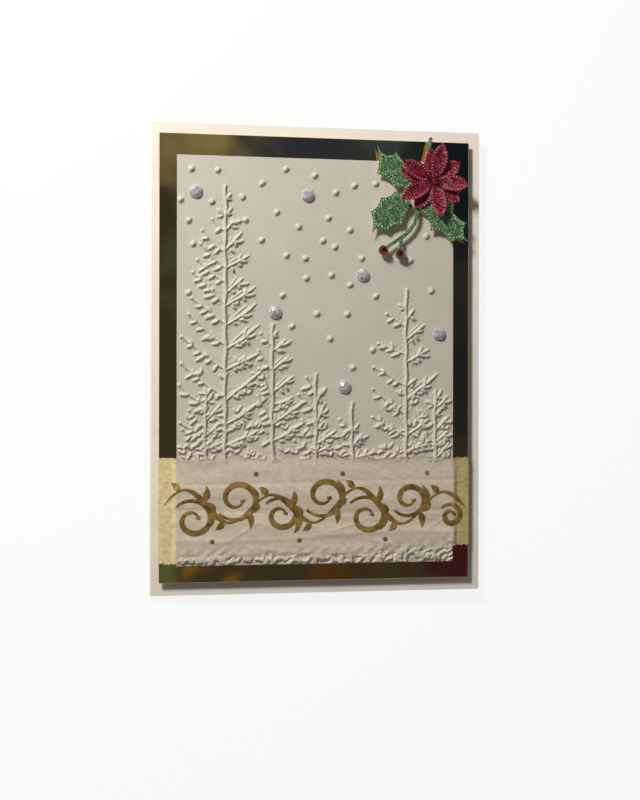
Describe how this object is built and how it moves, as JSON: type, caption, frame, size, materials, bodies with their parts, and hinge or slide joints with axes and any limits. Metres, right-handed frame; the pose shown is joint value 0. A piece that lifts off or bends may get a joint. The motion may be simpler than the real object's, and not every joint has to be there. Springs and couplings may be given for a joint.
{
  "type": "greeting card",
  "caption": "Handmade folded winter greeting card with an embossed fir panel on a mirror mat, a torn paper band and a raised flower with holly",
  "frame": {"origin": "under the middle of the card's back, where it lies on the table", "axes": "+X across the card from the fold to the free edge, +Y up the card, +Z out of its decorated front"},
  "size_m": [0.127, 0.178, 0.012],
  "materials": {
    "cream_card": "matte",
    "foam_tape": "matte",
    "gold_mirror_card": "polished",
    "embossed_card": "matte",
    "torn_paper": "matte",
    "green_glitter": "satin",
    "red_glitter": "satin",
    "red_stone": "polished",
    "clear_stone": "polished"
  },
  "bodies": {
    "root": {"card_base": "cream_card", "foam_strip_top": "foam_tape", "foam_strip_bottom": "foam_tape", "foam_strip_left": "foam_tape", "foam_strip_middle": "foam_tape", "foam_strip_right": "foam_tape", "mirror_mat": "gold_mirror_card", "embossed_panel": "embossed_card", "paper_band": "torn_paper", "holly_leaf_upper": "green_glitter", "holly_leaf_lower": "green_glitter", "holly_leaf_right": "green_glitter", "holly_pad_upper": "foam_tape", "holly_pad_lower": "foam_tape", "holly_pad_right": "foam_tape", "berry_stem": "green_glitter", "stem_pad": "foam_tape", "flower_pad": "foam_tape", "flower_lower_petals": "red_glitter", "flower_upper_petals": "red_glitter", "flower_centre": "red_stone", "snow_gem_1": "clear_stone", "snow_gem_2": "clear_stone", "snow_gem_3": "clear_stone", "snow_gem_4": "clear_stone", "snow_gem_5": "clear_stone", "snow_gem_6": "clear_stone", "berry_left": "red_stone", "berry_right": "red_stone"}
  },
  "joints": []
}
